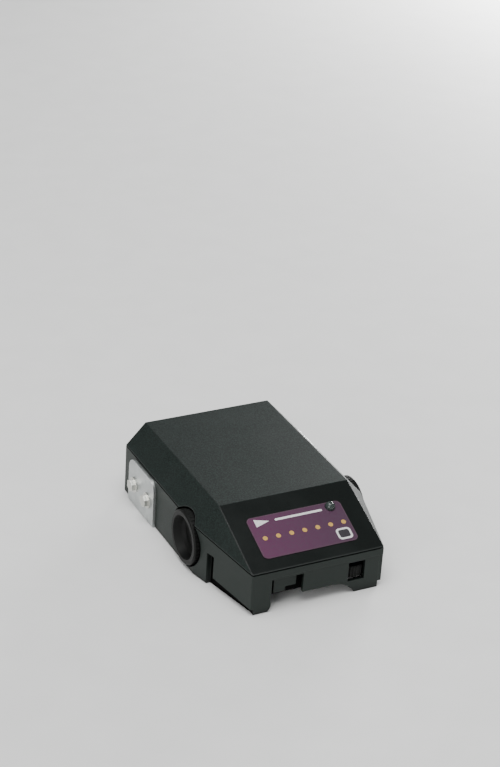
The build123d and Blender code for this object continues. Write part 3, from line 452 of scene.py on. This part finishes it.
looks = {
    "cover_plastic": cover_material(),
    # the housing also gets nearly black painted shadow in the recesses of its flanks
    "housing_plastic": grained_plastic(
        "housing_grain_painted_shadow",
        (0.0065, 0.0115, 0.009),
        (0.017, 0.025, 0.021),
        0.5,
        2000.0,
        0.2,
        gloss=0.3,
        paint_flank_shadow=True,
    ),
    # painted shadow: the plate behind the slide knob is near black so that the slit beside the knob reads as
    # shade
    "shutter_plastic": grained_plastic(
        "shutter_black_painted_shadow", (0.0006, 0.0006, 0.0006), (0.002, 0.002, 0.002), 0.7, 1500.0, 0.1, gloss=0.05
    ),
    "dial_plastic": grained_plastic(
        "dial_satin", (0.0016, 0.0019, 0.0015), (0.006, 0.007, 0.006), 0.5, 1500.0, 0.1, gloss=0.2
    ),
    "label_film": label_material(),
    "lamp_lens": lamp_material(),
    "tinned_wire": metal("tinned_wire", (0.78, 0.76, 0.72), (0.6, 0.58, 0.55), 0.25),
    "steel_bright": metal("machined_steel", (0.62, 0.62, 0.62), (0.45, 0.45, 0.46), 0.28, (1, 12, 12)),
    "inner_nylon": grained_plastic("nylon", (0.62, 0.60, 0.54), (0.72, 0.70, 0.64), 0.5, 1200.0, 0.1, 0.05),
    "bob_brass": metal("turned_brass", (0.74, 0.55, 0.24), (0.5, 0.36, 0.16), 0.25, (1, 20, 20)),
    "board_green": board_material(),
    "pot_body": glossy("pot_body", (0.03, 0.04, 0.08), (0.05, 0.06, 0.1), 0.4),
    "bracket_zinc": metal(
        "galvanised", (0.60, 0.62, 0.61), (0.42, 0.44, 0.44), 0.42, (1, 1, 1), 500.0, 0.15, 0.7
    ),
    "screw_zinc": metal("zinc_plate", (0.64, 0.64, 0.60), (0.5, 0.5, 0.46), 0.3),
    "sink_aluminium": metal("extruded_aluminium", (0.72, 0.72, 0.73), (0.6, 0.6, 0.62), 0.35, (20, 20, 1)),
    "chip_epoxy": grained_plastic("chip_epoxy", (0.018, 0.018, 0.02), (0.05, 0.05, 0.05), 0.55, 1600.0, 0.1),
    "capacitor_sleeve": glossy("capacitor_sleeve", (0.02, 0.035, 0.12), (0.03, 0.05, 0.15), 0.2),
    "shunt_alloy": metal("shunt_alloy", (0.55, 0.5, 0.42), (0.4, 0.34, 0.28), 0.35),
    "grommet_rubber": grained_plastic(
        "grommet_rubber", (0.014, 0.014, 0.014), (0.04, 0.04, 0.04), 0.65, 1400.0, 0.15
    ),
    "wire_blue": insulation("insulation_blue", (0.012, 0.05, 0.35)),
    "wire_black": insulation("insulation_black", (0.015, 0.015, 0.016)),
    "wire_red": insulation("insulation_red", (0.45, 0.015, 0.012)),
    "wire_white": insulation("insulation_white", (0.72, 0.72, 0.69)),
    "tie_nylon": glossy("tie_nylon", (0.02, 0.02, 0.021), (0.03, 0.03, 0.03), 0.35),
}
slot_of = {entry["node"]: entry["material_slot"] for entry in frame["record"]["subparts"]}


def dress(obj, material):
    obj.data.materials.clear()
    obj.data.materials.append(material)


for node_name, obj in nodes.items():
    dress(obj, looks[slot_of[node_name]])
for colour, lead in lead_objects.items():
    dress(lead, looks[f"wire_{colour}"])
    dress(tip_objects[colour], looks["tinned_wire"])

# ---------------------------------------------------------------- label print
# Places on the label are (across, up the slope) from the middle of the nose panel's lower edge.
NOSE_RUN = 38.5
NOSE_RISE = 15.5
NOSE_ORIGIN = Vector((0, NOSE_Y, 22.0))
NOSE_UP = Vector((0, NOSE_RUN, NOSE_RISE)).normalized()
NOSE_OUT = Vector((0, -NOSE_RISE, NOSE_RUN)).normalized()
LABEL_THICK = 0.3
INK = 0.06
INK_ROOT = 0.02  # how far the ink reaches into the film
LABEL_CENTRE = (-0.4, 19.1)
BORDER_OUTER = (49.6, 23.6, 2.5)  # width, height and corner radius
BORDER_INNER = (49.0, 23.0, 2.2)
CORNER_FRAME = (18.7, 12.0)
FRAME_OUTER = (7.6, 6.4, 1.8)
FRAME_INNER = (5.6, 4.4, 1.0)
MARKS = 7
MARK_START = (-20.2, 18.4)
MARK_STEP = 6.9
MARK_RADIUS = 1.2
STRIPE = (1.2, 27.4, 25.0, 1.2, 0.5)
TRIANGLE = [(-21.6, 25.2), (-14.2, 27.4), (-21.6, 29.6)]


def on_panel(x, s, lift):
    """A point on the nose panel: x across, s up the slope and lift off its face, in metres."""
    return (NOSE_ORIGIN + Vector((x, 0, 0)) + NOSE_UP * s + NOSE_OUT * lift) * MM


def printed(name, outlines, material, lift=LABEL_THICK, thick=INK):
    """Flat raised ink from closed outlines of label points; a pair of outlines is a ring."""
    bm = bmesh.new()
    for outline in outlines:
        loops = outline if isinstance(outline[0][0], (tuple, list)) else [outline]
        layers = []
        for loop in loops:
            low = [bm.verts.new(on_panel(x, s, lift - INK_ROOT)) for x, s in loop]
            high = [bm.verts.new(on_panel(x, s, lift + thick)) for x, s in loop]
            layers.append((low, high))
            count = len(loop)
            for i in range(count):
                j = (i + 1) % count
                bm.faces.new((low[i], low[j], high[j], high[i]))
        if len(layers) == 1:
            bm.faces.new(layers[0][1])
            bm.faces.new(list(reversed(layers[0][0])))
        else:
            for level in (0, 1):
                a, b = layers[0][level], layers[1][level]
                count = len(a)
                for i in range(count):
                    j = (i + 1) % count
                    bm.faces.new((a[i], a[j], b[j], b[i]))
    bmesh.ops.recalc_face_normals(bm, faces=bm.faces)
    mesh = bpy.data.meshes.new(name)
    bm.to_mesh(mesh)
    bm.free()
    obj = bpy.data.objects.new(name, mesh)
    bpy.context.scene.collection.objects.link(obj)
    dress(obj, material)
    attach(obj, "casing")
    return obj


def rounded_rect(cx, cs, width, height, corner, steps=6):
    points = []
    for qx, qs, start in ((1, 1, 0), (-1, 1, 90), (-1, -1, 180), (1, -1, 270)):
        for i in range(steps + 1):
            a = math.radians(start + 90 * i / steps)
            points.append((
                cx + qx * (width / 2 - corner) + corner * math.cos(a),
                cs + qs * (height / 2 - corner) + corner * math.sin(a),
            ))
    return points


def disc(cx, cs, radius, steps=20):
    angles = [2 * math.pi * i / steps for i in range(steps)]
    return [(cx + radius * math.cos(a), cs + radius * math.sin(a)) for a in angles]


white_ink = flat_print("white_ink", (0.72, 0.72, 0.72))
gold_ink = flat_print("gold_ink", (0.55, 0.33, 0.07))
grey_ink = flat_print("grey_ink", (0.075, 0.04, 0.06))
dark_ink = flat_print("dark_ink", (0.02, 0.016, 0.022))

printed(
    "label_corner_frame",
    [[rounded_rect(*CORNER_FRAME, *FRAME_OUTER), rounded_rect(*CORNER_FRAME, *FRAME_INNER)]],
    white_ink,
)
printed("label_corner_field", [rounded_rect(*CORNER_FRAME, *FRAME_INNER)], dark_ink, thick=INK / 2)
printed(
    "label_border",
    [[rounded_rect(*LABEL_CENTRE, *BORDER_OUTER), rounded_rect(*LABEL_CENTRE, *BORDER_INNER)]],
    grey_ink,
    thick=INK / 2,
)
printed(
    "label_scale_marks",
    [disc(MARK_START[0] + MARK_STEP * i, MARK_START[1], MARK_RADIUS) for i in range(MARKS)],
    gold_ink,
)
printed("label_triangle", [TRIANGLE], white_ink)
printed("label_stripe", [rounded_rect(*STRIPE)], white_ink)

# ---------------------------------------------------------------- floor and light


def area_light(name, position, target, size, power, colour=(1, 1, 1)):
    data = bpy.data.lights.new(name, "AREA")
    data.shape = "RECTANGLE"
    data.size, data.size_y = size
    data.energy = power
    data.color = colour
    obj = bpy.data.objects.new(name, data)
    bpy.context.scene.collection.objects.link(obj)
    obj.location = position
    obj.rotation_euler = (Vector(target) - Vector(position)).to_track_quat("-Z", "Y").to_euler()
    return obj


FLOOR_SIZE = 6.0
FLOOR_DROP = 0.05 * MM


def make_floor():
    bpy.ops.mesh.primitive_plane_add(size=FLOOR_SIZE, location=(0, 0, -FLOOR_DROP))
    floor = bpy.context.object
    floor.name = "studio_floor"
    g = Graph("floor")
    fine = g.noise(40.0, 3.0)
    tone = g.mix(g.remap(fine, 0.3, 0.7, 0.0, 1.0), (0.80, 0.80, 0.79), (0.83, 0.83, 0.82))
    dress(floor, g.shade(tone, 0.7, fine, 0.01, 0.0002))


def make_world():
    world = bpy.data.worlds.new("studio")
    world.use_nodes = True
    background = world.node_tree.nodes["Background"]
    background.inputs["Color"].default_value = (0.93, 0.95, 0.96, 1.0)
    background.inputs["Strength"].default_value = 0.42
    bpy.context.scene.world = world


make_floor()
make_world()
area_light("key", (-0.25, -0.2, 1.5), (0, 0, 0.02), (1.2, 1.2), 26.0)
area_light("left_fill", (-1.2, -0.9, 0.5), (0, 0, 0.02), (0.8, 0.8), 8.0)
area_light("right_rim", (0.9, 0.75, 0.16), (0.03, 0, 0.03), (0.5, 0.22), 16.0)
